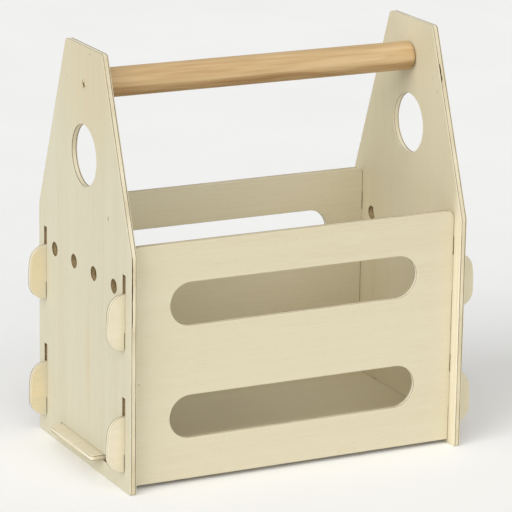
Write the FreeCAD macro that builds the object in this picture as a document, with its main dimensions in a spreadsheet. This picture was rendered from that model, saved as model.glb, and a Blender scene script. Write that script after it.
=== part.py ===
"""Plug-together plywood hay rack with a dowel handle.

Frame: +X runs along the handle from the left end panel to the right one, -Y is
the front and +Z is up. The origin is on the ground under the middle of the rack.

Two house-shaped end panels stand on the ground. The front and rear walls hang in
them by hook tabs, which pass through upright slots and drop behind the panels'
outer faces. The floor has one tongue in each end panel, and a dowel handle is
screwed between their tops. Front and rear walls are the same part, and so are
the two end panels.
"""
import FreeCAD, Part
import math
import os
import re

import Sketcher

SIZES = {
    # plywood, and the outline of an end panel
    "ply": 4.5,
    "edge_round": 0.5,
    "rack_length": 250,
    "end_depth": 155,
    "end_height": 288,
    "end_top_depth": 60,
    "shoulder_height": 163,
    "foot_radius": 2,
    "shoulder_radius": 8,
    "peak_radius": 3.5,
    # holes in an end panel
    "carrot_hole_radius": 21,
    "carrot_hole_height": 214,
    "row_hole_radius": 5,
    "row_hole_pitch": 33.2,
    "row_hole_height": 137,
    # front and rear walls, with their hay slots
    "wall_setback": 9,
    "wall_height": 164,
    "wall_rise": 3,
    "wall_corner_radius": 5,
    "end_gap": 0.25,
    "hay_slot_length": 185,
    "hay_slot_height": 30,
    "lower_hay_slot": 43.5,
    "hay_slot_pitch": 78,
    # hook tabs: heights are above the wall's lower edge, and the reach is outside the end panel.
    # A tab's back leans in by tab_lean degrees before it turns over its upper corner.
    "lower_tab_top": 49,
    "tab_pitch": 84,
    "tab_height": 38,
    "tab_reach": 12,
    "tab_corner_radius": 12,
    "tab_back_radius": 80,
    "tab_lean": 8,
    "tab_toe_radius": 11,
    "hook_drop": 12,
    "hook_gap": 0.5,
    "lift_play": 1,
    "tab_side_gap": 0.25,
    # floor, which lies loose in long slots and is pushed back against the rear wall
    "floor_slot_low": 10.8,
    "floor_slot_height": 4.9,
    "floor_slot_length": 79.6,
    "floor_gap": 0.2,
    "floor_depth": 122.7,
    "floor_setback": 2.4,
    "tongue_width": 71.2,
    "tongue_reach": 9,
    "tongue_radius": 3,
    # handle
    "handle_radius": 10,
    "handle_height": 262,
    "handle_chamfer": 2,
    "pilot_radius": 1.3,
    "pilot_depth": 27,
    # countersunk wood screws that hold the handle
    "screw_hole_radius": 1.9,
    "countersink": 1.8,
    "head_radius": 3.45,
    "head_sink": 0.2,
    "shank_radius": 1.75,
    "shank_end": 4.2,
    "root_radius": 1.2,
    "thread_start": 5,
    "thread_pitch": 1.8,
    "tip_start": 27,
    "screw_length": 30,
    "recess_width": 0.9,
    "recess_span": 4.2,
    "recess_depth": 1.5,
}
THREAD_CRESTS = 12
# degrees that each screw's cross recess is turned
LEFT_SCREW_TURN = 20
RIGHT_SCREW_TURN = -35
# how near two lengths in mm count as the same, and the least area in mm2 of a panel's large face
HIT = 0.01
LARGE_FACE = 9000

Vector = FreeCAD.Vector


def make_sheet():
    sheet = doc.addObject("Spreadsheet::Sheet", "Sizes")
    for row, (name, size) in enumerate(SIZES.items(), start=1):
        sheet.set(f"A{row}", name)
        sheet.set(f"B{row}", str(size))
        sheet.setAlias(f"B{row}", name)
    doc.recompute()
    return sheet


doc = FreeCAD.newDocument("hay_rack")
sheet = make_sheet()


# ---- expressions ----

def cells(text):
    """The expression with each size's name turned into a reference to its cell."""
    return re.sub(r"[a-z]\w*", lambda word: f"Sizes.{word[0]}" if word[0] in SIZES else word[0], text)


def value(text):
    return float(sheet.evalExpression(cells(text)))


def bind(feature, **sizes):
    for name, text in sizes.items():
        feature.setExpression(name, cells(text))


# ---- sketches: every point and radius follows an expression ----

def new_body(label):
    body = doc.addObject("PartDesign::Body", label)
    body.Label = label
    return body


def new_sketch(body, name, role):
    """A sketch on one of the body's own origin planes."""
    plane = next(item for item in body.Origin.OriginFeatures if item.Role == role)
    sketch = body.newObject("Sketcher::SketchObject", name)
    sketch.AttachmentSupport = [(plane, "")]
    sketch.MapMode = "FlatFace"
    return sketch


def constrain(sketch, kind, *where, size):
    index = sketch.addConstraint(Sketcher.Constraint(kind, *where, value(size)))
    sketch.setExpression(f"Constraints[{index}]", cells(size))


def place_point(sketch, geometry, end, across, up):
    constrain(sketch, "DistanceX", -1, 1, geometry, end, size=across)
    constrain(sketch, "DistanceY", -1, 1, geometry, end, size=up)


def arc_through(start, end, radius):
    """The short arc that bulges to the right of the way from start to end."""
    chord = end - start
    to_right = Vector(chord.y, -chord.x, 0).normalize()
    bulge = radius - (radius ** 2 - (chord.Length / 2) ** 2) ** 0.5
    return Part.Arc(start, (start + end) * 0.5 + to_right * bulge, end)


def outline(sketch, points, arcs=None):
    """A closed anticlockwise outline. arcs maps the number of a stretch to its radius."""
    arcs = arcs or {}
    first = sketch.GeometryCount
    spots = [Vector(value(across), value(up), 0) for across, up in points]
    for number, start in enumerate(spots):
        end = spots[(number + 1) % len(spots)]
        if number in arcs:
            stretch = arc_through(start, end, value(arcs[number]))
        else:
            stretch = Part.LineSegment(start, end)
        sketch.addGeometry(stretch, False)
    for number, (across, up) in enumerate(points):
        previous = first + (number - 1) % len(points)
        sketch.addConstraint(Sketcher.Constraint("Coincident", previous, 2, first + number, 1))
        place_point(sketch, first + number, 1, across, up)
    for number, radius in arcs.items():
        constrain(sketch, "Radius", first + number, size=radius)


def rectangle(sketch, left, right, low, high):
    outline(sketch, [(left, low), (right, low), (right, high), (left, high)])


def circle(sketch, radius, across="0", up="0"):
    centre = Vector(value(across), value(up), 0)
    number = sketch.addGeometry(Part.Circle(centre, Vector(0, 0, 1), value(radius)), False)
    constrain(sketch, "Radius", number, size=radius)
    place_point(sketch, number, 3, across, up)


def stadium(sketch, length, height, up):
    """A level slot with round ends, centred across the sketch."""
    half = f"({length} - {height}) / 2"
    radius = f"{height} / 2"
    low = f"{up} - {radius}"
    high = f"{up} + {radius}"
    right = sketch.addGeometry(half_round(value(half), value(up), value(radius), -90), False)
    left = sketch.addGeometry(half_round(-value(half), value(up), value(radius), 90), False)
    top = sketch.addGeometry(line(half, high, f"-{half}", high), False)
    bottom = sketch.addGeometry(line(f"-{half}", low, half, low), False)
    for start, end in ((right, top), (top, left), (left, bottom), (bottom, right)):
        sketch.addConstraint(Sketcher.Constraint("Tangent", start, 2, end, 1))
    constrain(sketch, "Radius", right, size=radius)
    place_point(sketch, right, 3, half, up)
    place_point(sketch, left, 3, f"-{half}", up)


def line(x_start, z_start, x_end, z_end):
    return Part.LineSegment(Vector(value(x_start), value(z_start), 0), Vector(value(x_end), value(z_end), 0))


def half_round(across, up, radius, start_angle):
    whole = Part.Circle(Vector(across, up, 0), Vector(0, 0, 1), radius)
    start = math.radians(start_angle)
    return Part.ArcOfCircle(whole, start, start + math.pi)


# ---- features ----

def pad(body, sketch, length, midplane=False):
    feature = body.newObject("PartDesign::Pad", "Pad")
    feature.Profile = sketch
    feature.Midplane = midplane
    bind(feature, Length=length)
    doc.recompute()
    return feature


def pocket(body, sketch, depth, reverse=True, midplane=False):
    """A pocket, which has to take some material away."""
    before = body.Shape.Volume
    feature = body.newObject("PartDesign::Pocket", "Pocket")
    feature.Profile = sketch
    feature.Reversed = reverse
    feature.Midplane = midplane
    bind(feature, Length=depth)
    doc.recompute()
    if not body.Shape.Volume < before:
        raise RuntimeError(f"{body.Label}: {sketch.Label} cuts nothing")
    return feature


def revolve(body, sketch):
    """A full turn about the body's X axis."""
    axis = next(item for item in body.Origin.OriginFeatures if item.Role == "X_Axis")
    feature = body.newObject("PartDesign::Revolution", "Revolution")
    feature.Profile = sketch
    feature.ReferenceAxis = (axis, [""])
    feature.Angle = 360
    doc.recompute()
    return feature


def dress(body, kind, names, size):
    """A fillet or chamfer on the named edges or faces of the body as it stands."""
    base = body.Tip
    feature = body.newObject(f"PartDesign::{kind}", kind)
    feature.Base = (base, names)
    if kind == "Fillet":
        bind(feature, Radius=size)
    else:
        bind(feature, Size=size)
    doc.recompute()
    return feature


def edges_through(body, points, length):
    """Names of the straight edges of a length whose middle is at one of the points."""
    names = []
    for number, edge in enumerate(body.Tip.Shape.Edges, start=1):
        middle = edge.CenterOfMass
        if abs(edge.Length - length) < HIT and any(middle.distanceToPoint(spot) < HIT for spot in points):
            names.append(f"Edge{number}")
    if len(names) != len(points):
        raise RuntimeError(f"{body.Label}: found {len(names)} of {len(points)} corners")
    return names


def sheet_faces(body, normal):
    """Names of the two large faces of a panel whose thickness runs along normal."""
    names = []
    for number, face in enumerate(body.Tip.Shape.Faces, start=1):
        flat = isinstance(face.Surface, Part.Plane)
        if flat and abs(face.normalAt(0, 0).dot(normal)) > 1 - HIT and face.Area > LARGE_FACE:
            names.append(f"Face{number}")
    return names


# ---- the pieces ----

def end_panel(label, turn):
    """One end panel: its outer face is on the body's own YZ plane, at -X before the turn."""
    body = new_body(label)
    sides = new_sketch(body, "Outline", "YZ_Plane")
    foot = "end_depth / 2"
    peak = "end_top_depth / 2"
    outline(sides, [
        (f"-{foot}", "0"),
        (foot, "0"),
        (foot, "shoulder_height"),
        (peak, "end_height"),
        (f"-{peak}", "end_height"),
        (f"-{foot}", "shoulder_height"),
    ])
    pad(body, sides, "ply")
    middle = value("ply / 2")
    for across, up, radius in (
        (foot, "0", "foot_radius"),
        (foot, "shoulder_height", "shoulder_radius"),
        (peak, "end_height", "peak_radius"),
    ):
        corners = [Vector(middle, side * value(across), value(up)) for side in (-1, 1)]
        dress(body, "Fillet", edges_through(body, corners, value("ply")), radius)

    openings = new_sketch(body, "Openings", "YZ_Plane")
    circle(openings, "carrot_hole_radius", "0", "carrot_hole_height")
    for step in (-1.5, -0.5, 0.5, 1.5):
        circle(openings, "row_hole_radius", f"{step} * row_hole_pitch", "row_hole_height")
    wall_middle = "(end_depth / 2 - wall_setback - ply / 2)"
    slot_half = "(ply / 2 + tab_side_gap)"
    for side in ("-1", "1"):
        for step in ("0", "1"):
            seat = f"wall_rise + lower_tab_top + {step} * tab_pitch - tab_height + hook_drop"
            rectangle(
                openings,
                f"{side} * {wall_middle} - {slot_half}",
                f"{side} * {wall_middle} + {slot_half}",
                seat,
                f"{seat} + tab_height + lift_play",
            )
    rectangle(
        openings,
        "-floor_slot_length / 2",
        "floor_slot_length / 2",
        "floor_slot_low",
        "floor_slot_low + floor_slot_height",
    )
    pocket(body, openings, "ply")
    dress(body, "Fillet", sheet_faces(body, Vector(1, 0, 0)), "edge_round")

    screw_hole = new_sketch(body, "ScrewHole", "YZ_Plane")
    circle(screw_hole, "screw_hole_radius", "0", "handle_height")
    pocket(body, screw_hole, "ply")
    rim = [
        f"Edge{number}"
        for number, edge in enumerate(body.Tip.Shape.Edges, start=1)
        if abs(edge.BoundBox.XMax) < HIT and abs(edge.Length - value("2 * pi * screw_hole_radius")) < HIT
    ]
    dress(body, "Chamfer", rim, "countersink")
    body.Placement = FreeCAD.Placement(
        Vector(-value("rack_length / 2"), 0, 0), FreeCAD.Rotation()
    )
    if turn:
        half_turn = FreeCAD.Placement(Vector(), FreeCAD.Rotation(Vector(0, 0, 1), 180))
        body.Placement = half_turn * body.Placement
    return body


def tab_points(step):
    """Right-hand hook tab, upwards: points, each with the radius of the arc that leaves it, if any."""
    top = f"lower_tab_top + {step} * tab_pitch"
    inside = "rack_length / 2 - ply - end_gap"
    hook = "rack_length / 2 + hook_gap"
    tip = "rack_length / 2 + tab_reach"
    corner = f"{tip} - tab_back_radius * (1 - cos(tab_lean))"
    corner_height = f"{top} - tab_corner_radius * (1 - sin(tab_lean))"
    return [
        (inside, f"{top} - tab_height + hook_drop", None),
        (hook, f"{top} - tab_height + hook_drop", None),
        (hook, f"{top} - tab_height", None),
        (tip, f"{top} - tab_height", None),
        (tip, f"{corner_height} - tab_back_radius * sin(tab_lean)", "tab_back_radius"),
        (corner, corner_height, "tab_corner_radius"),
        (f"{corner} - tab_corner_radius * cos(tab_lean)", top, None),
        (inside, top, None),
    ]


def wall(label, side):
    """Front or rear wall: side is -1 for the front. The body's zero height is its lower edge."""
    body = new_body(label)
    inside = "rack_length / 2 - ply - end_gap"
    right = [(inside, "0", None), *tab_points(0), *tab_points(1), (inside, "wall_height", None)]
    points = [(across, up) for across, up, _ in right]
    points += [(f"-({across})", up) for across, up in reversed(points)]
    arcs = {number: radius for number, (_, _, radius) in enumerate(right) if radius}
    arcs.update({len(points) - 2 - number: radius for number, radius in arcs.items()})
    sides = new_sketch(body, "Outline", "XZ_Plane")
    outline(sides, points, arcs)
    pad(body, sides, "ply", midplane=True)

    hay_slots = new_sketch(body, "HaySlots", "XZ_Plane")
    for step in (0, 1):
        stadium(hay_slots, "hay_slot_length", "hay_slot_height", f"lower_hay_slot + {step} * hay_slot_pitch")
    pocket(body, hay_slots, "ply", midplane=True)

    corners = [Vector(side_x * value(inside), 0, value("wall_height")) for side_x in (-1, 1)]
    dress(body, "Fillet", edges_through(body, corners, value("ply")), "wall_corner_radius")
    toes = [
        Vector(side_x * value("rack_length / 2 + tab_reach"), 0,
               value(f"lower_tab_top + {step} * tab_pitch - tab_height"))
        for side_x in (-1, 1)
        for step in (0, 1)
    ]
    dress(body, "Fillet", edges_through(body, toes, value("ply")), "tab_toe_radius")
    dress(body, "Fillet", sheet_faces(body, Vector(0, 1, 0)), "edge_round")
    depth = value("end_depth / 2 - wall_setback - ply / 2")
    body.Placement.Base = Vector(0, side * depth, value("wall_rise"))
    return body


def floor_panel():
    """The floor between the four panels, with one tongue out through each end panel."""
    body = new_body("floor_panel")
    inside = "rack_length / 2 - ply - end_gap"
    tip = "rack_length / 2 + tongue_reach"
    edge = "floor_depth / 2"
    tongue = "tongue_width / 2"
    right = [
        (inside, f"-{edge}"),
        (inside, f"-{tongue}"),
        (tip, f"-{tongue}"),
        (tip, tongue),
        (inside, tongue),
        (inside, edge),
    ]
    left = [(f"-({across})", f"-({along})") for across, along in right]
    plan = new_sketch(body, "Plan", "XY_Plane")
    outline(plan, right + left)
    pad(body, plan, "ply")
    tips = [
        Vector(side_x * value(tip), side_y * value(tongue), value("ply / 2"))
        for side_x in (-1, 1)
        for side_y in (-1, 1)
    ]
    dress(body, "Fillet", edges_through(body, tips, value("ply")), "tongue_radius")
    dress(body, "Fillet", sheet_faces(body, Vector(0, 0, 1)), "edge_round")
    body.Placement.Base = Vector(0, value("floor_setback"), value("floor_slot_low + floor_gap"))
    return body


def handle_dowel():
    """A turned dowel with chamfered ends and a pilot hole in each."""
    body = new_body("handle_dowel")
    end = "(rack_length / 2 - ply)"
    right = [
        (f"{end} - pilot_depth", "0"),
        (f"{end} - pilot_depth", "pilot_radius"),
        (end, "pilot_radius"),
        (end, "handle_radius - handle_chamfer"),
        (f"{end} - handle_chamfer", "handle_radius"),
    ]
    left = [(f"-({across})", up) for across, up in reversed(right)]
    profile = new_sketch(body, "Profile", "XZ_Plane")
    outline(profile, right + left)
    revolve(body, profile)
    body.Placement.Base = Vector(0, 0, value("handle_height"))
    return body


def handle_screw(label, side, turn):
    """A countersunk wood screw: ring crests stand for its thread, and the head has a cross recess."""
    body = new_body(label)
    crests = []
    for number in reversed(range(THREAD_CRESTS)):
        middle = f"thread_start + {number + 0.5} * thread_pitch"
        crests += [
            (f"{middle} + thread_pitch / 2", "root_radius"),
            (middle, "shank_radius"),
        ]
    profile = new_sketch(body, "Profile", "XZ_Plane")
    outline(profile, [
        ("0", "0"),
        ("screw_length", "0"),
        ("tip_start", "root_radius"),
        *crests,
        ("thread_start", "root_radius"),
        ("shank_end", "shank_radius"),
        ("head_radius - shank_radius", "shank_radius"),
        ("0", "head_radius"),
    ])
    revolve(body, profile)

    recess = new_sketch(body, "Recess", "YZ_Plane")
    arm = "recess_span / 2"
    half = "recess_width / 2"
    outline(recess, [
        (f"-{arm}", f"-{half}"), (f"-{half}", f"-{half}"), (f"-{half}", f"-{arm}"),
        (half, f"-{arm}"), (half, f"-{half}"), (arm, f"-{half}"),
        (arm, half), (half, half), (half, arm),
        (f"-{half}", arm), (f"-{half}", half), (f"-{arm}", half),
    ])
    pocket(body, recess, "recess_depth")
    about_handle = FreeCAD.Rotation(Vector(1, 0, 0), turn)
    facing = FreeCAD.Rotation(Vector(0, 0, 1), 180 if side > 0 else 0)
    outer = side * value("rack_length / 2 - head_sink")
    body.Placement = FreeCAD.Placement(Vector(outer, 0, value("handle_height")), facing * about_handle)
    return body


def export(pieces):
    """Write each piece, once every object of the document is sound."""
    doc.recompute()
    for item in doc.Objects:
        if "Invalid" in item.State or "Error" in item.State:
            raise RuntimeError(f"{item.Label}: {item.State}")
    os.makedirs("parts", exist_ok=True)
    for body in pieces:
        shape = body.Shape
        if shape.isNull() or not shape.isValid() or len(shape.Solids) != 1:
            raise RuntimeError(f"{body.Label}: no single valid solid")
        shape.exportStep(f"parts/{body.Label}.step")
        print(body.Label, round(shape.Volume / 1000, 2), "cm3", shape.BoundBox)


export([
    end_panel("side_panel_left", turn=False),
    end_panel("side_panel_right", turn=True),
    wall("front_panel", side=-1),
    wall("rear_panel", side=1),
    floor_panel(),
    handle_dowel(),
    handle_screw("handle_screw_left", side=-1, turn=LEFT_SCREW_TURN),
    handle_screw("handle_screw_right", side=1, turn=RIGHT_SCREW_TURN),
])
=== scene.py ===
"""The plywood hay rack's looks: layered plywood panels, a turned pine dowel, zinc screws, and a pale studio."""
import bpy
import bmesh
import math
from mathutils import Matrix, Vector, noise


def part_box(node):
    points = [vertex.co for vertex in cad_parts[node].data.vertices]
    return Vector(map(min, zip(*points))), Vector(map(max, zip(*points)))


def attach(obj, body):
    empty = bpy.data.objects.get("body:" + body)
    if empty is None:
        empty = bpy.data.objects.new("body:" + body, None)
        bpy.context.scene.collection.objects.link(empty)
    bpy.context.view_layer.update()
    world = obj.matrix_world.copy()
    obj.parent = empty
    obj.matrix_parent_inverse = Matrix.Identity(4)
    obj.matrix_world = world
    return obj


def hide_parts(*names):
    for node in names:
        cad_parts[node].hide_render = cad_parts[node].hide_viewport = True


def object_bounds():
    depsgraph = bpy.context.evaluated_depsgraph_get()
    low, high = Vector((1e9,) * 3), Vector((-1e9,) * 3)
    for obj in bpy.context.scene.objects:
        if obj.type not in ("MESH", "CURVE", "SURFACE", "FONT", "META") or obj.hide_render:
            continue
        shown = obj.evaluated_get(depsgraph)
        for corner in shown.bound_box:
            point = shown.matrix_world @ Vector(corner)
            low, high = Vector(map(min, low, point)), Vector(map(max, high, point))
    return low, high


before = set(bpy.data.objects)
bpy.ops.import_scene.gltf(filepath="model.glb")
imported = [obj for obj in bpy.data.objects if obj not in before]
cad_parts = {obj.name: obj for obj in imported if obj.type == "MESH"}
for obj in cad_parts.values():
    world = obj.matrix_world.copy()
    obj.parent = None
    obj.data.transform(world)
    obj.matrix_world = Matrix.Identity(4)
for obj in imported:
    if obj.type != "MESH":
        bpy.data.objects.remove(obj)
cad_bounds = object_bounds()

MM = 0.001
X, Y, Z = 0, 1, 2
BLACK = (0, 0, 0, 1)
GREY = (0.6, 0.6, 0.6, 1)
WHITE = (1, 1, 1, 1)


# ---------------------------------------------------------------- camera and studio

CAMERA_PLACE = (-0.9340, -1.8793, 0.7169)
CAMERA_YAW = -26.52
CAMERA_PITCH = -15.60
CAMERA_ROLL = 0.82
SENSOR_WIDTH = 36.0
LENS = 223.13
NEAREST, FARTHEST = 0.05, 100
WORLD_LIGHT = 0.46
FLOOR_SIZE = 24


def make_camera():
    data = bpy.data.cameras.new("camera")
    data.sensor_width = SENSOR_WIDTH
    data.lens = LENS
    data.clip_start = NEAREST
    data.clip_end = FARTHEST
    camera = bpy.data.objects.new("camera", data)
    bpy.context.scene.collection.objects.link(camera)
    turn = Matrix.Rotation(math.radians(CAMERA_YAW), 4, "Z")
    tilt = Matrix.Rotation(math.radians(90 + CAMERA_PITCH), 4, "X")
    roll = Matrix.Rotation(math.radians(CAMERA_ROLL), 4, "Z")
    camera.matrix_world = Matrix.Translation(CAMERA_PLACE) @ turn @ tilt @ roll
    bpy.context.scene.camera = camera


def soft_light(name, azimuth, elevation, spread, strength):
    """A wide, far light. azimuth is degrees from the front towards the left."""
    data = bpy.data.lights.new(name, "SUN")
    data.angle = math.radians(spread)
    data.energy = strength
    light = bpy.data.objects.new(name, data)
    light.rotation_euler = (math.radians(90 - elevation), 0, math.radians(-azimuth))
    bpy.context.scene.collection.objects.link(light)


def make_studio():
    scene = bpy.context.scene
    scene.view_settings.view_transform = "Standard"
    world = bpy.data.worlds.new("studio")
    scene.world = world
    world.use_nodes = True
    background = world.node_tree.nodes["Background"]
    background.inputs["Color"].default_value = WHITE
    background.inputs["Strength"].default_value = WORLD_LIGHT
    soft_light("front", azimuth=6, elevation=34, spread=60, strength=1.09)
    soft_light("side", azimuth=68, elevation=33, spread=44, strength=1.54)

    bpy.ops.mesh.primitive_plane_add(size=FLOOR_SIZE, location=(0, 0, cad_bounds[0][Z]))
    floor = bpy.context.object
    floor.name = "studio_floor"
    floor.data.materials.append(floor_material())


# ---------------------------------------------------------------- shader helpers

SPOT_CORE = 0.35


def colour(red, green, blue):
    """A colour given as it shows on a screen, from 0 to 255, as linear light."""
    def linear(value):
        value /= 255
        return value / 12.92 if value <= 0.04045 else ((value + 0.055) / 1.055) ** 2.4
    return (linear(red), linear(green), linear(blue), 1)


class Shader:
    """A new material and short ways to add nodes to it."""

    def __init__(self, name, roughness=0.6, specular=0.5):
        self.material = bpy.data.materials.new(name)
        self.material.use_nodes = True
        self.tree = self.material.node_tree
        self.surface = self.tree.nodes["Principled BSDF"]
        self.surface.inputs["Roughness"].default_value = roughness
        self.surface.inputs["Specular IOR Level"].default_value = specular
        coordinates = self.tree.nodes.new("ShaderNodeTexCoord")
        self.place = coordinates.outputs["Object"]
        self.normal = coordinates.outputs["Normal"]

    def node(self, kind, inputs=(), **settings):
        """A node of a kind. inputs maps a socket to a value or to another node's output."""
        node = self.tree.nodes.new(f"ShaderNode{kind}")
        for name, value in settings.items():
            setattr(node, name, value)
        for socket, value in dict(inputs).items():
            if isinstance(value, bpy.types.NodeSocket):
                self.tree.links.new(value, node.inputs[socket])
            else:
                node.inputs[socket].default_value = value
        return node

    def stretched(self, scale, offset=(0, 0, 0)):
        """The place on the piece, scaled on each axis to cycles per metre."""
        mapping = self.node("Mapping", {"Vector": self.place, "Location": offset, "Scale": scale})
        return mapping.outputs[0]

    def noise(self, vector, detail=2.0, roughness=0.5, distortion=0.0):
        inputs = {"Vector": vector, "Scale": 1.0, "Detail": detail, "Roughness": roughness, "Distortion": distortion}
        return self.node("TexNoise", inputs).outputs[0]

    def math(self, operation, first, second=0.0, third=0.0):
        inputs = {0: first, 1: second}
        if operation == "MULTIPLY_ADD":
            inputs[2] = third
        return self.node("Math", inputs, operation=operation).outputs[0]

    def total(self, start, *parts):
        """start, plus each part's distance from its middle, 0.5, times its weight."""
        for value, weight in parts:
            start = self.math("ADD", start, self.math("MULTIPLY_ADD", value, weight, -weight / 2))
        return start

    def spread(self, value, low, high, start=0.0, end=1.0):
        """value taken from low..high to start..end, and held there."""
        inputs = {"Value": value, 1: low, 2: high, 3: start, 4: end}
        return self.node("MapRange", inputs, interpolation_type="SMOOTHSTEP").outputs[0]

    def ramp(self, value, stops):
        node = self.node("ValToRGB", {0: value})
        elements = node.color_ramp.elements
        while len(elements) < len(stops):
            elements.new(0.5)
        for element, (position, shade) in zip(elements, stops):
            element.position = position
            element.color = shade
        return node.outputs[0]

    def spot(self, place, size):
        """1 well inside an ellipsoid with these half sizes, fading to 0 at its surface."""
        location = [-centre / half for centre, half in zip(place, size)]
        scale = [1 / half for half in size]
        offset = self.node("Mapping", {"Vector": self.place, "Location": location, "Scale": scale})
        away = self.node("VectorMath", {0: offset.outputs[0]}, operation="LENGTH").outputs["Value"]
        return self.spread(away, SPOT_CORE, 1.0, 1.0, 0.0)

    def end_grain(self, axis):
        """1 where the surface cuts straight across fibres that run along an axis, 0 where it runs with them."""
        way = [0.0, 0.0, 0.0]
        way[axis] = 1.0
        facing = self.node("VectorMath", {0: self.normal, 1: way}, operation="DOT_PRODUCT").outputs["Value"]
        return self.math("ABSOLUTE", facing)

    def mix(self, factor, first, second):
        return self.node("Mix", {0: factor, 6: first, 7: second}, data_type="RGBA").outputs[2]

    def bump(self, height, strength, distance):
        inputs = {"Height": height, "Strength": strength, "Distance": distance}
        node = self.node("Bump", inputs)
        self.tree.links.new(node.outputs[0], self.surface.inputs["Normal"])

    def paint(self, base=None, roughness=None, metallic=None):
        wanted = (("Base Color", base), ("Roughness", roughness), ("Metallic", metallic))
        for socket, source in wanted:
            if isinstance(source, bpy.types.NodeSocket):
                self.tree.links.new(source, self.surface.inputs[socket])
            elif source is not None:
                self.surface.inputs[socket].default_value = source
        return self.material


def grain_scale(axis, across, along):
    """Cycles per metre on each axis: along on the grain's own axis, across on the others."""
    scale = [across, across, across]
    scale[axis] = along
    return scale


# ---------------------------------------------------------------- materials

def floor_material():
    shader = Shader("studio_floor", roughness=0.85, specular=0.2)
    mottle = shader.noise(shader.stretched((6, 6, 6)), detail=4)
    base = shader.ramp(mottle, [(0.3, colour(250, 250, 249)), (0.7, colour(253, 253, 252))])
    return shader.paint(base)


def veneer_face(name, axis, seed, shades, marks=(), patches=()):
    """Sliced poplar veneer: faint broad bands, fine fibres, short pores and a few pin knots.

    marks are small brown knots, each a place, half sizes and a strength. patches are faint stretches
    of another shade, each a place, half sizes, a strength and a colour.
    """
    shader = Shader(name, specular=0.28)
    shift = (seed * 1.37, seed * 2.11, seed * 0.73)
    drift = shader.noise(shader.stretched(grain_scale(axis, 11, 1.1), shift), detail=1)
    bands = shader.noise(shader.stretched(grain_scale(axis, 52, 1.3), shift), detail=2, distortion=0.5)
    lines = shader.noise(shader.stretched(grain_scale(axis, 330, 4), shift), detail=2, roughness=0.6)
    fibres = shader.noise(shader.stretched(grain_scale(axis, 2300, 38), shift), detail=2, roughness=0.65)
    tone = shader.total(0.5, (drift, 0.42), (bands, 0.24), (lines, 0.13), (fibres, 0.44))
    dark, middle, light = shades
    base = shader.ramp(tone, [(0.12, dark), (0.5, middle), (0.88, light)])

    for place, size, strength, shade in patches:
        uneven = shader.spread(lines, 0.3, 0.7, 0.5 * strength, strength)
        base = shader.mix(shader.math("MULTIPLY", shader.spot(place, size), uneven), base, shade)

    pores = shader.noise(shader.stretched(grain_scale(axis, 3900, 230), shift), detail=1)
    pore_mask = shader.spread(pores, 0.64, 0.76)
    base = shader.mix(shader.math("MULTIPLY", pore_mask, 0.3), base, colour(182, 160, 122))

    knot_map = shader.stretched(grain_scale(axis, 21, 14), shift)
    cells = shader.node("TexVoronoi", {"Vector": knot_map, "Scale": 1.0})
    chance = shader.node("SeparateColor", {0: cells.outputs["Color"]}).outputs[0]
    reach = shader.spread(chance, 0.6, 1.0, 0.0, 0.022)
    near = shader.math("SUBTRACT", reach, cells.outputs["Distance"])
    knot = shader.math("MULTIPLY", shader.spread(near, -0.012, 0.012), shader.spread(chance, 0.6, 0.75))
    base = shader.mix(shader.math("MULTIPLY", knot, 0.7), base, colour(152, 122, 84))
    for place, size, strength in marks:
        base = shader.mix(shader.math("MULTIPLY", shader.spot(place, size), strength), base, colour(122, 94, 60))

    height = shader.total(0.5, (fibres, 0.6), (lines, 0.35), (pore_mask, -0.3))
    shader.bump(height, 0.35, 0.06 * MM)
    return shader.paint(base, roughness=shader.spread(fibres, 0.2, 0.8, 0.74, 0.58))


def veneer_edge(name, axis, seed):
    """The cut edge of a face veneer: pale along the fibres, and greyer where it cuts across them."""
    shader = Shader(name, roughness=0.8, specular=0.2)
    shift = (seed, seed * 1.7, seed * 0.9)
    fine = shader.noise(shader.stretched((2200, 2200, 2200), shift), detail=3)
    patch = shader.noise(shader.stretched((60, 60, 60), shift), detail=2)
    tone = shader.total(0.5, (fine, 0.7), (patch, 0.6))
    along = shader.ramp(tone, [(0.3, colour(204, 191, 158)), (0.7, colour(220, 210, 182))])
    across = shader.ramp(tone, [(0.3, colour(176, 165, 140)), (0.7, colour(200, 190, 165))])
    shader.bump(fine, 0.4, 0.05 * MM)
    return shader.paint(shader.mix(shader.end_grain(axis), along, across))


def glue_line(name, seed, stains=()):
    """The thin line between two plies, dark in stretches. stains are as patches are on a face."""
    shader = Shader(name, roughness=0.7, specular=0.25)
    shift = (seed * 0.6, seed, seed * 1.3)
    patch = shader.noise(shader.stretched((34, 34, 34), shift), detail=2, roughness=0.6)
    fine = shader.noise(shader.stretched((600, 600, 600), shift), detail=2)
    tone = shader.total(0.5, (patch, 1.2), (fine, 0.5))
    base = shader.ramp(tone, [(0.36, colour(72, 55, 38)), (0.5, colour(106, 87, 62)), (0.68, colour(150, 131, 101))])
    for place, size, strength, shade in stains:
        base = shader.mix(shader.math("MULTIPLY", shader.spot(place, size), strength), base, shade)
    shader.bump(fine, 0.2, 0.05 * MM)
    return shader.paint(base)


def core_edge(name, axis, seed):
    """The core ply's edge. Its fibres run across the face veneers' ones, so it is end grain where they aren't."""
    shader = Shader(name, roughness=0.85, specular=0.18)
    shift = (seed * 1.9, seed * 0.4, seed)
    pores = shader.noise(shader.stretched((3200, 3200, 3200), shift), detail=2, roughness=0.7)
    patch = shader.noise(shader.stretched((40, 40, 40), shift), detail=2)
    tone = shader.total(0.5, (pores, 0.8), (patch, 0.7))
    pale = [(0.28, colour(214, 202, 172)), (0.5, colour(229, 221, 196)), (0.75, colour(236, 229, 208))]
    open_grain = [(0.28, colour(188, 172, 136)), (0.5, colour(216, 205, 174)), (0.75, colour(224, 215, 188))]
    across = shader.math("SUBTRACT", 1.0, shader.end_grain(axis))
    base = shader.mix(across, shader.ramp(tone, pale), shader.ramp(tone, open_grain))
    shader.bump(pores, 0.6, 0.08 * MM)
    return shader.paint(base)


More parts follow.
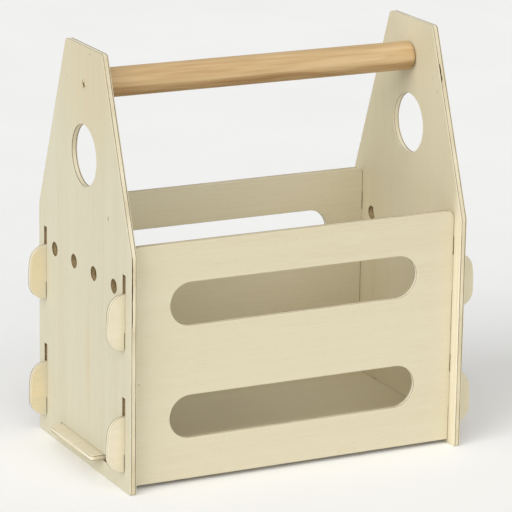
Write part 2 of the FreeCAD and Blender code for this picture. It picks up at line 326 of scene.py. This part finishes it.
def bore_wall(name, seed):
    """The wall of a drilled hole or a tight slot: plies painted a darker brown as the shade inside it, finely
    mottled.
    """
    shader = Shader(name, roughness=0.75, specular=0.2)
    shift = (seed * 0.7, seed * 1.1, seed)
    fine_mottle = shader.noise(shader.stretched((700, 700, 700), shift), detail=3, roughness=0.6)
    patch = shader.noise(shader.stretched((90, 90, 90), shift), detail=2)
    tone = shader.total(0.5, (fine_mottle, 0.7), (patch, 0.7))
    # painted shade: darker browns for the cut plies inside narrow openings
    shaded_browns = [(0.3, colour(128, 106, 72)), (0.55, colour(164, 143, 104)), (0.8, colour(186, 168, 130))]
    base = shader.ramp(tone, shaded_browns)
    shader.bump(fine_mottle, 0.5, 0.06 * MM)
    return shader.paint(base)


def hollow_core(name):
    """The inside of a gap in the core ply: painted dark as the shade inside it, mottled and rough."""
    shader = Shader(name, roughness=0.95, specular=0.1)
    shade_mottle = shader.noise(shader.stretched((1500, 1500, 1500)), detail=2)
    base = shader.ramp(shade_mottle, [(0.35, colour(30, 22, 15)), (0.7, colour(66, 50, 34))])
    shader.bump(shade_mottle, 0.5, 0.1 * MM)
    return shader.paint(base)


# the pith lies behind and below the dowel's axis, and rises to the right
PITH_BEHIND = 55 * MM
PITH_BELOW = 20 * MM
PITH_SLOPE = 0.022
PITH_SWAY = 6 * MM
RINGS_PER_METRE = 620
RING_WANDER = 3 * MM
HEART_BELOW = 2.8 * MM
HEART_RIPPLE = 3 * MM
HEART_RUN_OUT = (5 * MM, 100 * MM)
HEART_SINKS = 8 * MM


def pine(name):
    """Softwood dowel: growth rings round a pith outside it, and darker heartwood low along it, which is partly
    painted shade, with more painted shade towards its bottom.
    """
    shader = Shader(name, specular=0.3)
    sway = shader.noise(shader.stretched((4, 14, 14)), detail=1)
    parts = shader.node("SeparateXYZ", {0: shader.place})
    pith_y = shader.math("MULTIPLY_ADD", sway, PITH_SWAY, PITH_BEHIND - PITH_SWAY / 2)
    pith_z = shader.math("MULTIPLY_ADD", parts.outputs[X], PITH_SLOPE, HANDLE_HEIGHT - PITH_BELOW)
    across = shader.math("SUBTRACT", parts.outputs[Y], pith_y)
    up = shader.math("SUBTRACT", parts.outputs[Z], pith_z)
    squares = shader.math("MULTIPLY_ADD", across, across, shader.math("MULTIPLY", up, up))
    wander = shader.noise(shader.stretched((7, 70, 70), (4, 1, 2)), detail=2)
    radius = shader.math("MULTIPLY_ADD", wander, RING_WANDER, shader.math("SQRT", squares))
    ring = shader.math("FRACT", shader.math("MULTIPLY", radius, RINGS_PER_METRE))
    late = shader.ramp(ring, [(0.0, BLACK), (0.7, GREY), (0.88, WHITE), (1.0, BLACK)])
    fibres = shader.noise(shader.stretched((26, 1900, 1900)), detail=3, roughness=0.6)
    bands = shader.noise(shader.stretched((3.5, 95, 95), (1, 2, 3)), detail=3)
    patches = shader.noise(shader.stretched((14, 170, 170), (5, 3, 1)), detail=2)
    # the heartwood's edge is a little under the axis, and it runs out under the dowel towards the right; its darker
    # tone on the underside is partly painted shade
    rise = shader.math("SUBTRACT", parts.outputs[Z], HANDLE_HEIGHT)
    ripple = shader.noise(shader.stretched((13, 50, 50), (2, 7, 4)), detail=2)
    edge = shader.math("MULTIPLY_ADD", ripple, HEART_RIPPLE, -HEART_BELOW)
    run_out = shader.spread(parts.outputs[X], *HEART_RUN_OUT, 0.0, -HEART_SINKS)
    edge = shader.math("ADD", edge, run_out)
    heartwood_and_shade = shader.spread(shader.math("SUBTRACT", edge, rise), -0.3 * MM, 0.5 * MM)
    # painted shade: the dowel darker towards its bottom
    low = shader.spread(rise, -7 * MM, 4 * MM, 1.0, 0.0)
    tone = shader.total(0.44, (late, 0.15), (fibres, 0.5), (bands, 1.1), (patches, 0.75))
    tone = shader.math("MULTIPLY_ADD", heartwood_and_shade, 0.12, tone)
    tone = shader.math("MULTIPLY_ADD", low, 0.12, tone)
    base = shader.ramp(
        tone,
        [(0.1, colour(217, 190, 148)), (0.45, colour(201, 170, 124)), (0.85, colour(160, 124, 80))],
    )
    height = shader.total(0.5, (fibres, 0.7), (late, -0.3))
    shader.bump(height, 0.4, 0.08 * MM)
    return shader.paint(base, roughness=shader.spread(fibres, 0.2, 0.8, 0.64, 0.48))


# painted shade in the screws' cross recess: near the axis, fading out between RECESS_DARK and RECESS_UNSHADED below
# the head's face
RECESS_RADII = (1.6 * MM, 2.5 * MM)
RECESS_DARK = 0.8 * MM
RECESS_UNSHADED = 0.2 * MM


def zinc(name):
    """Yellow zinc plating, with brushed streaks, dull spots and painted shade down in the cross recess."""
    shader = Shader(name, roughness=0.35)
    spots = shader.noise(shader.stretched((900, 900, 900)), detail=3)
    brushed = shader.noise(shader.stretched((5000, 700, 700)), detail=2)
    base = shader.ramp(spots, [(0.32, colour(196, 178, 134)), (0.62, colour(238, 224, 184))])
    parts = shader.node("SeparateXYZ", {0: shader.place})
    up = shader.math("SUBTRACT", parts.outputs[Z], HANDLE_HEIGHT)
    squares = shader.math("MULTIPLY_ADD", parts.outputs[Y], parts.outputs[Y], shader.math("MULTIPLY", up, up))
    # painted shade: the cross recess darkened near the axis and deeper down
    near_axis = shader.spread(shader.math("SQRT", squares), *RECESS_RADII, 1.0, 0.0)
    outward = shader.math("ABSOLUTE", parts.outputs[X])
    sunk = shader.spread(outward, HEAD_FACE - RECESS_DARK, HEAD_FACE - RECESS_UNSHADED, 1.0, 0.0)
    painted_recess_shade = shader.math("MULTIPLY", near_axis, sunk)
    base = shader.mix(shader.math("MULTIPLY", painted_recess_shade, 0.9), base, colour(44, 36, 22))
    shader.bump(brushed, 0.3, 0.02 * MM)
    return shader.paint(base, roughness=shader.spread(spots, 0.3, 0.7, 0.28, 0.5), metallic=0.9)


# ---------------------------------------------------------------- plywood panels

# outlines
WELD = 0.001 * MM
OUTLINE_STEP = 1.0 * MM
CORNER_TURN = math.radians(30)
STRAIGHT_TURN = math.radians(0.3)
UNEQUAL = 3
MITRE_LIMIT = 0.5
# arrises, crisp round the openings that are cut to fit something
ARRIS = 0.42 * MM
ARRIS_MOST = 0.85 * MM
CRISP_ARRIS = 0.15 * MM
ARRIS_ANGLES = (0, 22.5, 45, 67.5, 90)
NARROW_OPENING = 12 * MM
CHIP_SIZE = 3.2 * MM
CHIP_START = 0.28
CHIP_DEPTH = 0.9 * MM
# plies and glue lines
VENEER = 0.7 * MM
GLUE = 0.34 * MM
GLUE_BANK = 0.04 * MM
GLUE_RECESS = 0.06 * MM
CORE_RECESS = 0.03 * MM
CORE_UNEVEN = 0.06 * MM
CORE_SIZE = 1.7 * MM
# gaps in the core ply, with their least and middle widths and swing as shares of GAP_WIDTH
GAP_WIDTH = 0.8 * MM
GAP_LEAST, GAP_MIDDLE, GAP_SWING = 0.15, 0.8, 0.4
GAP_UNEVEN_SIZE = 3 * MM
DEEP_GAP = 0.8 * MM
GAP_DARK = 0.12 * MM
CORE_SEED, GAP_SEED = 7, 9
# screw holes
COUNTERSINK_DEPTH = 1.8 * MM
SCREW_HOLE_RADIUS = 1.9 * MM

FACE, CUT_VENEER, GLUE_BAND, CORE, HOLLOW, BORE = range(6)
NO_GAP, NEAR_SIDE, FAR_SIDE, PAST_GAP = range(4)

HANDLE_LOW, HANDLE_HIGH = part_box("handle_dowel")
HANDLE_HEIGHT = (HANDLE_LOW.z + HANDLE_HIGH.z) / 2
HANDLE_RADIUS = (HANDLE_HIGH.z - HANDLE_LOW.z) / 2
HANDLE_HALF = HANDLE_HIGH.x
HEAD_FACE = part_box("handle_screw_right")[1].x


def flat_axes(axis):
    return [number for number in (X, Y, Z) if number != axis]


def section_loops(node, axis):
    """The closed outlines where the middle plane across axis cuts a CAD node, as lists of 2-D points."""
    low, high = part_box(node)
    normal = Vector((0, 0, 0))
    normal[axis] = 1
    solid = bmesh.new()
    solid.from_mesh(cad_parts[node].data)
    bmesh.ops.remove_doubles(solid, verts=solid.verts, dist=WELD)
    everything = solid.verts[:] + solid.edges[:] + solid.faces[:]
    cut = bmesh.ops.bisect_plane(solid, geom=everything, plane_co=(low + high) / 2, plane_no=normal)
    edges = {item for item in cut["geom_cut"] if isinstance(item, bmesh.types.BMEdge)}
    first, second = flat_axes(axis)
    loops = []
    while edges:
        edge = edges.pop()
        start, vert = edge.verts
        loop = [start.co.copy()]
        while vert != start:
            loop.append(vert.co.copy())
            edge = next(item for item in vert.link_edges if item in edges)
            edges.remove(edge)
            vert = edge.other_vert(vert)
        loops.append([Vector((point[first], point[second])) for point in loop])
    solid.free()
    return loops


def signed_area(loop):
    return sum(point.cross(loop[number - 1]) for number, point in enumerate(loop)) / -2


def settled(loop):
    """The same outline, anticlockwise from its first point by coordinates, however it was found."""
    if signed_area(loop) < 0:
        loop = loop[::-1]
    start = min(range(len(loop)), key=lambda number: tuple(loop[number]))
    return loop[start:] + loop[:start]


def turn_at(loop, number):
    before = loop[number] - loop[number - 1]
    after = loop[(number + 1) % len(loop)] - loop[number]
    return abs(before.angle_signed(after))


def without_straight_points(loop):
    return [point for number, point in enumerate(loop) if turn_at(loop, number) > STRAIGHT_TURN]


def tangent_at(loop, number):
    """The outline's directions into and out of a point, the same one where the outline is smooth."""
    before = loop[number] - loop[number - 1]
    after = loop[(number + 1) % len(loop)] - loop[number]
    if abs(before.angle_signed(after)) > CORNER_TURN:
        return before.normalized(), after.normalized()
    if before.length > UNEQUAL * after.length:
        after = before
    elif after.length > UNEQUAL * before.length:
        before = after
    middle = (before.normalized() + after.normalized()).normalized()
    return middle, middle


def refined(loop):
    """The outline with its curves rounded and a point every OUTLINE_STEP, and which points are corners."""
    loop = without_straight_points(loop)
    points, corners = [], []
    for number, start in enumerate(loop):
        following = (number + 1) % len(loop)
        end = loop[following]
        reach = (end - start).length
        leave = tangent_at(loop, number)[1] * reach
        arrive = tangent_at(loop, following)[0] * reach
        count = max(1, math.ceil(reach / OUTLINE_STEP))
        for piece in range(count):
            part = piece / count
            square, cube = part ** 2, part ** 3
            point = start * (2 * cube - 3 * square + 1) + leave * (cube - 2 * square + part)
            point += end * (3 * square - 2 * cube) + arrive * (cube - square)
            points.append(point)
            corners.append(piece == 0 and turn_at(loop, number) > CORNER_TURN)
    return points, corners


def inward(points, number):
    """The way into the wood, mitred at corners, for an outline with the wood on its left."""
    before = (points[number] - points[number - 1]).normalized()
    after = (points[(number + 1) % len(points)] - points[number]).normalized()
    left_before = Vector((-before.y, before.x))
    left_after = Vector((-after.y, after.x))
    middle = (left_before + left_after).normalized()
    return middle / max(MITRE_LIMIT, middle.dot(left_after))


class Layer:
    """A ring over a panel's edge.

    drop and inset are its shares of the arris' height and width, recess is how far it lies behind the
    edge, and kind is the material of the band below it. gap says where it lies in the core gaps beside
    a glue line: NEAR_SIDE, FAR_SIDE or just PAST_GAP, and negative for the lower glue line.
    """

    def __init__(self, height, recess, kind, gap=NO_GAP, drop=0, inset=0):
        self.height = height
        self.recess = recess
        self.kind = kind
        self.gap = gap
        self.drop = drop
        self.inset = inset
        self.gap_side = (gap > 0) - (gap < 0)

    def mirrored(self, kind):
        return Layer(-self.height, self.recess, kind, -self.gap, -self.drop, self.inset)


def layers(half):
    """The rings over a panel's edge, from one face to the other."""
    glue = half - VENEER
    core = glue - GLUE
    upper = []
    for angle in ARRIS_ANGLES:
        around = math.radians(angle)
        kind = FACE if angle < ARRIS_ANGLES[-1] else CUT_VENEER
        upper.append(Layer(half, 0, kind, drop=1 - math.cos(around), inset=1 - math.sin(around)))
    upper += [
        Layer(glue + GLUE_BANK, 0, GLUE_BAND),
        Layer(glue, GLUE_RECESS, GLUE_BAND),
        Layer(core, GLUE_RECESS, CORE),
        Layer(core - GLUE_BANK, CORE_RECESS, CORE, NEAR_SIDE),
        Layer(core - GAP_WIDTH, CORE_RECESS, CORE, FAR_SIDE),
        Layer(core - GAP_WIDTH - GLUE_BANK, CORE_RECESS, CORE, PAST_GAP),
    ]
    kinds_above = [FACE] + [layer.kind for layer in upper[:-1]]
    lower = [layer.mirrored(kind) for layer, kind in zip(upper, kinds_above)]
    return upper + lower[::-1]


def is_screw_hole(points, axis):
    """True for the round hole at the dowel's axis."""
    if axis != X:
        return False
    middle = sum(points, Vector((0, 0))) / len(points)
    return (middle - Vector((0, HANDLE_HEIGHT))).length < SCREW_HOLE_RADIUS


def unevenness(point, seed, size):
    """A smooth random amount from -1 to 1 for a place on an outline."""
    return noise.noise(Vector((point.x, point.y, seed)) / size)


def gap_at(gaps, point, side):
    """How deep the core is missing at a place on the outline, and how wide, from 0 to 1, on one side."""
    deepest, widest = 0.0, 0.0
    for place, gap_side, length, depth in gaps:
        away = (place - point).length / (length / 2)
        if gap_side == side and away < 1:
            share = math.sqrt(1 - away ** 2)
            deepest = max(deepest, depth * share)
            widest = max(widest, share * min(1.0, depth / DEEP_GAP))
    return deepest, widest


def hollow_at(points, layer, gaps):
    """Which of a layer's points lie well inside a core gap."""
    inside = abs(layer.gap) in (NEAR_SIDE, FAR_SIDE)
    return [inside and gap_at(gaps, point, layer.gap_side)[0] > GAP_DARK for point in points]


def is_narrow(points):
    """True for a slot or hole that is cut to fit something, so its rim is crisp."""
    reaches = [max(part) - min(part) for part in zip(*points)]
    return min(reaches) < NARROW_OPENING


def ring_spots(points, ways, layer, seed, gaps):
    """A layer's points in the panel's plane and their heights."""
    narrow = is_narrow(points)
    side = layer.gap_side
    spots = []
    for point, way in zip(points, ways):
        chip = max(0.0, unevenness(point, seed, CHIP_SIZE) - CHIP_START) * CHIP_DEPTH
        arris = CRISP_ARRIS if narrow else min(ARRIS + chip, ARRIS_MOST)
        inset = arris * layer.inset + layer.recess
        if layer.kind == CORE and layer.recess:
            inset += CORE_UNEVEN * abs(unevenness(point, seed + CORE_SEED, CORE_SIZE))
        rise = 0.0
        if side:
            depth, width = gap_at(gaps, point, side)
            if abs(layer.gap) != PAST_GAP:
                inset += depth
            if abs(layer.gap) != NEAR_SIDE:
                width *= GAP_MIDDLE + GAP_SWING * unevenness(point, seed + GAP_SEED, GAP_UNEVEN_SIZE)
                rise = side * (1 - min(max(width, GAP_LEAST), 1.0)) * (GAP_WIDTH - GLUE_BANK)
        spots.append((point + way * inset, layer.height + rise - arris * layer.drop))
    return spots


def countersunk(points, ways, layer, half, outer_side):
    """The same for the screw hole, which widens towards the panel's outer face."""
    height = layer.height - CRISP_ARRIS * layer.drop
    cone = max(0.0, COUNTERSINK_DEPTH - (half - height * outer_side))
    inset = cone + CRISP_ARRIS * layer.inset
    return [(point + way * inset, height) for point, way in zip(points, ways)]


def add_band(mesh, upper, lower, kind, corners, hollow):
    """Faces between two rings of points. hollow says which of them are inside a core gap."""
    count = len(upper)
    for number in range(count):
        following = (number + 1) % count
        face = mesh.faces.new((upper[number], upper[following], lower[following], lower[number]))
        face.smooth = True
        # faces well inside a core gap take the hollow's painted shade
        face.material_index = HOLLOW if hollow[number] or hollow[following] else kind
    for number in range(count):
        if corners[number]:
            mesh.edges.get((upper[number], lower[number])).smooth = False


def panel_mesh(name, node, axis, seed, core_gaps=()):
    """A plywood panel rebuilt from its CAD outline, with round arrises and its plies' edges in relief."""
    low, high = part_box(node)
    half = (high[axis] - low[axis]) / 2
    centre = (high[axis] + low[axis]) / 2
    outer_side = 1 if centre > 0 else -1
    first, second = flat_axes(axis)
    gaps = [
        (Vector((place[first], place[second])), side, length, depth)
        for place, side, length, depth in core_gaps
    ]
    stack = layers(half)
    mesh = bmesh.new()
    caps = ([], [])
    loops = [settled(loop) for loop in section_loops(node, axis)]
    loops.sort(key=lambda loop: (-signed_area(loop), tuple(loop[0])))
    outline, *openings = loops
    for loop in [outline] + [opening[::-1] for opening in openings]:
        points, corners = refined(loop)
        ways = [inward(points, number) for number in range(len(points))]
        screw_hole = is_screw_hole(points, axis)
        narrow = is_narrow(points)
        loop_gaps = () if narrow else gaps
        rings = []
        for layer in stack:
            if screw_hole:
                spots = countersunk(points, ways, layer, half, outer_side)
            else:
                spots = ring_spots(points, ways, layer, seed, loop_gaps)
            ring = []
            for flat, height in spots:
                spot = Vector((0, 0, 0))
                spot[first], spot[second] = flat
                spot[axis] = centre + height
                ring.append(mesh.verts.new(spot))
            rings.append(ring)
        hollows = [hollow_at(points, layer, loop_gaps) for layer in stack]
        for number, (upper, lower) in enumerate(zip(rings, rings[1:])):
            hollow = [any(pair) for pair in zip(hollows[number], hollows[number + 1])]
            kind = stack[number].kind
            # slots and holes cut to fit take the bore wall's painted shade on their cut plies
            if narrow and kind in (CUT_VENEER, CORE):
                kind = BORE
            add_band(mesh, upper, lower, kind, corners, hollow)
        for cap, ring in zip(caps, (rings[0], rings[-1])):
            cap += [mesh.edges.get((vert, ring[number - 1])) for number, vert in enumerate(ring)]
    for cap in caps:
        bmesh.ops.triangle_fill(mesh, edges=cap, use_beauty=True)
    bmesh.ops.recalc_face_normals(mesh, faces=mesh.faces)
    return new_piece(name, mesh)


def new_piece(name, mesh):
    data = bpy.data.meshes.new(name)
    mesh.to_mesh(data)
    mesh.free()
    piece = bpy.data.objects.new(name, data)
    bpy.context.scene.collection.objects.link(piece)
    return piece


# veneers, as dark, middle and light
LEFT_END_SHADES = (colour(197, 188, 158), colour(211, 205, 181), colour(219, 215, 195))
# painted warm bounce light: the right end's shades are warmer than the left's
RIGHT_END_PAINTED_BOUNCE_SHADES = (colour(200, 187, 149), colour(214, 204, 173), colour(222, 215, 189))
WALL_SHADES = (colour(200, 187, 152), colour(214, 205, 177), colour(222, 215, 192))
# patches on faces, some of them painted light, and stains on glue lines
WARM = colour(208, 190, 150)
# painted light on the front wall's tabs, which stand out of the shade
PAINTED_TAB_LIGHT = colour(226, 216, 190)
# painted light on a strip of the right end's inner face and on the floor's tongue
PAINTED_LIGHT = colour(238, 229, 205)
YELLOWED = colour(228, 211, 172)
DARK_GLUE = colour(40, 32, 24)
PALE_GLUE = colour(206, 192, 158)
TAB_HEIGHTS = (33, 117)


def make_panel(name, node, axis, grain, seed, shades, body, core_gaps=(), marks=(), patches=(), stains=()):
    """A plywood panel in place of a CAD node: thin along axis, its face veneers' fibres along grain."""
    piece = panel_mesh(name, node, axis, seed, core_gaps)
    piece.data.materials.append(veneer_face(f"{name}_face", grain, seed, shades, marks, patches))
    piece.data.materials.append(veneer_edge(f"{name}_veneer_edge", grain, seed))
    piece.data.materials.append(glue_line(f"{name}_glue", seed, stains))
    piece.data.materials.append(core_edge(f"{name}_core", grain, seed))
    piece.data.materials.append(hollow_core(f"{name}_hollow"))
    piece.data.materials.append(bore_wall(f"{name}_bore", seed))
    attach(piece, body)
    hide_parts(node)


def on_end(along, up, across=0.0):
    """A place on an end panel. across counts from the rack's middle, and matters only to what keeps to one ply."""
    return (across * MM, along * MM, up * MM)


def end_size(along, up, across=1000.0):
    """Half sizes on an end panel, right through it unless across is given."""
    return (across * MM, along * MM, up * MM)


def make_panels():
    make_panel(
        "left_end_plywood", "side_panel_left", X, Z, 3.0, LEFT_END_SHADES, "frame",
        core_gaps=[
            (on_end(77.5, 60), 1, 7 * MM, 1.2 * MM),
            (on_end(-77.5, 155), -1, 16 * MM, 0.35 * MM),
            (on_end(-77.5, 141), -1, 19 * MM, 0.5 * MM),
            (on_end(-77.5, 125), -1, 18 * MM, 0.35 * MM),
        ],
        marks=[
            (on_end(-40.7, 180.6), end_size(0.8, 2.3), 1.0),
            (on_end(-10.7, 284.5), end_size(0.8, 1.2), 0.6),
            (on_end(27, 262), end_size(0.5, 1.1), 0.4),
        ],
        patches=[
            (on_end(-7, 72), end_size(5, 46), 0.6, WARM),
            (on_end(-8, 290), end_size(75, 110), 0.55, WARM),
        ],
        stains=[
            (on_end(0, 150, -121.3), end_size(1000, 1000, 1.5), 0.35, DARK_GLUE),
            (on_end(-77.5, 139, -124.2), end_size(6, 44, 1.2), 0.4, DARK_GLUE),
        ],
    )
    make_panel(
        "right_end_plywood", "side_panel_right", X, Z, 8.0, RIGHT_END_PAINTED_BOUNCE_SHADES, "frame",
        core_gaps=[
            (on_end(-38.4, 265.7), -1, 6 * MM, 0.11 * MM),
            (on_end(-40.8, 259.5), -1, 7 * MM, 2.5 * MM),
            (on_end(-42.8, 254.2), -1, 5 * MM, 1.2 * MM),
            (on_end(-77.5, 114), -1, 26 * MM, 0.11 * MM),
            (on_end(77.5, 131), 1, 6 * MM, 1.0 * MM),
        ],
        marks=[
            (on_end(-40.1, 244), end_size(0.9, 1.8), 0.35),
            (on_end(-32.8, 252.1), end_size(0.6, 1.0), 0.3),
        ],
        # painted light on the strip near the front edge
        patches=[(on_end(-74, 70), end_size(9, 190), 0.85, PAINTED_LIGHT)],
        stains=[
            (on_end(-77.5, 118, 121.3), end_size(5, 40, 1.2), 0.6, DARK_GLUE),
            (on_end(-77.5, 110, 124.2), end_size(40, 90, 1.2), 0.7, DARK_GLUE),
        ],
    )
    make_panel(
        "front_wall_plywood", "front_panel", Y, X, 5.0, WALL_SHADES, "front_wall",
        marks=[((-115 * MM, 0, 73.1 * MM), (1.1 * MM, 1, 0.7 * MM), 0.5)],
        # painted light on the tabs
        patches=[((-133 * MM, 0, up * MM), (9 * MM, 1, 26 * MM), 0.8, PAINTED_TAB_LIGHT) for up in TAB_HEIGHTS],
    )
    make_panel(
        "rear_wall_plywood", "rear_panel", Y, X, 12.0, WALL_SHADES, "rear_wall",
        patches=[((-133 * MM, 0, up * MM), (9 * MM, 1, 26 * MM), 0.8, YELLOWED) for up in TAB_HEIGHTS],
    )
    make_panel(
        "floor_plywood", "floor_panel", Z, X, 17.0, WALL_SHADES, "frame",
        # painted light on the left tongue
        patches=[((-134 * MM, 0, 0), (12 * MM, 1, 1), 0.5, PAINTED_LIGHT)],
        stains=[((-134 * MM, 2.4 * MM, 0), (5 * MM, 34 * MM, 1), 0.85, PALE_GLUE)],
    )


# ---------------------------------------------------------------- dowel and screws

DOWEL_SIDES = 96
DOWEL_STEP = 1.2 * MM
DOWEL_CHAMFER = 2.0 * MM
DOWEL_ROUNDING = 0.9 * MM
END_FACE_DEPTH = 0.01 * MM
GRAIN_RELIEF = 0.05 * MM
GRAIN_CYCLES = (12, 900, 900)
PILOT_RADIUS = 1.3 * MM
PILOT_DEPTH = 27 * MM


def dowel_profile():
    """Places along the dowel and radii, from one pilot hole's bottom over the outside to the other's."""
    stretch = HANDLE_HALF - DOWEL_CHAMFER
    count = round(2 * stretch / DOWEL_STEP)
    outside = [(-stretch + 2 * stretch * step / count, HANDLE_RADIUS) for step in range(count + 1)]
    middle = (HANDLE_HALF - DOWEL_ROUNDING, HANDLE_RADIUS - DOWEL_ROUNDING)
    shoulder = (HANDLE_HALF, HANDLE_RADIUS - DOWEL_CHAMFER)
    end = [middle, shoulder, (HANDLE_HALF, PILOT_RADIUS), (HANDLE_HALF - PILOT_DEPTH, PILOT_RADIUS)]
    return [(-along, radius) for along, radius in reversed(end)] + outside + end


def make_dowel():
    """The handle, turned round its axis, with its grain in faint relief."""
    mesh = bmesh.new()
    rings = []
    for along, radius in dowel_profile():
        ring = []
        for side in range(DOWEL_SIDES):
            angle = 2 * math.pi * side / DOWEL_SIDES
            spot = Vector((along, radius * math.cos(angle), radius * math.sin(angle)))
            grain = noise.noise(Vector(GRAIN_CYCLES) * spot)
            sag = GRAIN_RELIEF * max(0.0, grain) if radius > HANDLE_RADIUS / 2 else 0.0
            spot.y -= sag * math.cos(angle)
            spot.z -= sag * math.sin(angle)
            spot.z += HANDLE_HEIGHT
            ring.append(mesh.verts.new(spot))
        rings.append(ring)
    for near, far in zip(rings, rings[1:]):
        for side in range(DOWEL_SIDES):
            following = (side + 1) % DOWEL_SIDES
            face = mesh.faces.new((near[side], near[following], far[following], far[side]))
            face.smooth = abs(near[side].co.x - far[side].co.x) > END_FACE_DEPTH
    mesh.faces.new(rings[0])
    mesh.faces.new(rings[-1])
    bmesh.ops.recalc_face_normals(mesh, faces=mesh.faces)
    piece = new_piece("handle_pine", mesh)
    piece.data.materials.append(pine("handle_pine"))
    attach(piece, "frame")
    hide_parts("handle_dowel")


def finish_screws():
    material = zinc("zinc_screw")
    for side in ("left", "right"):
        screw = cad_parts[f"handle_screw_{side}"]
        screw.data.materials.clear()
        screw.data.materials.append(material)


# ---------------------------------------------------------------- the scene

make_camera()
make_studio()
make_panels()
make_dowel()
finish_screws()
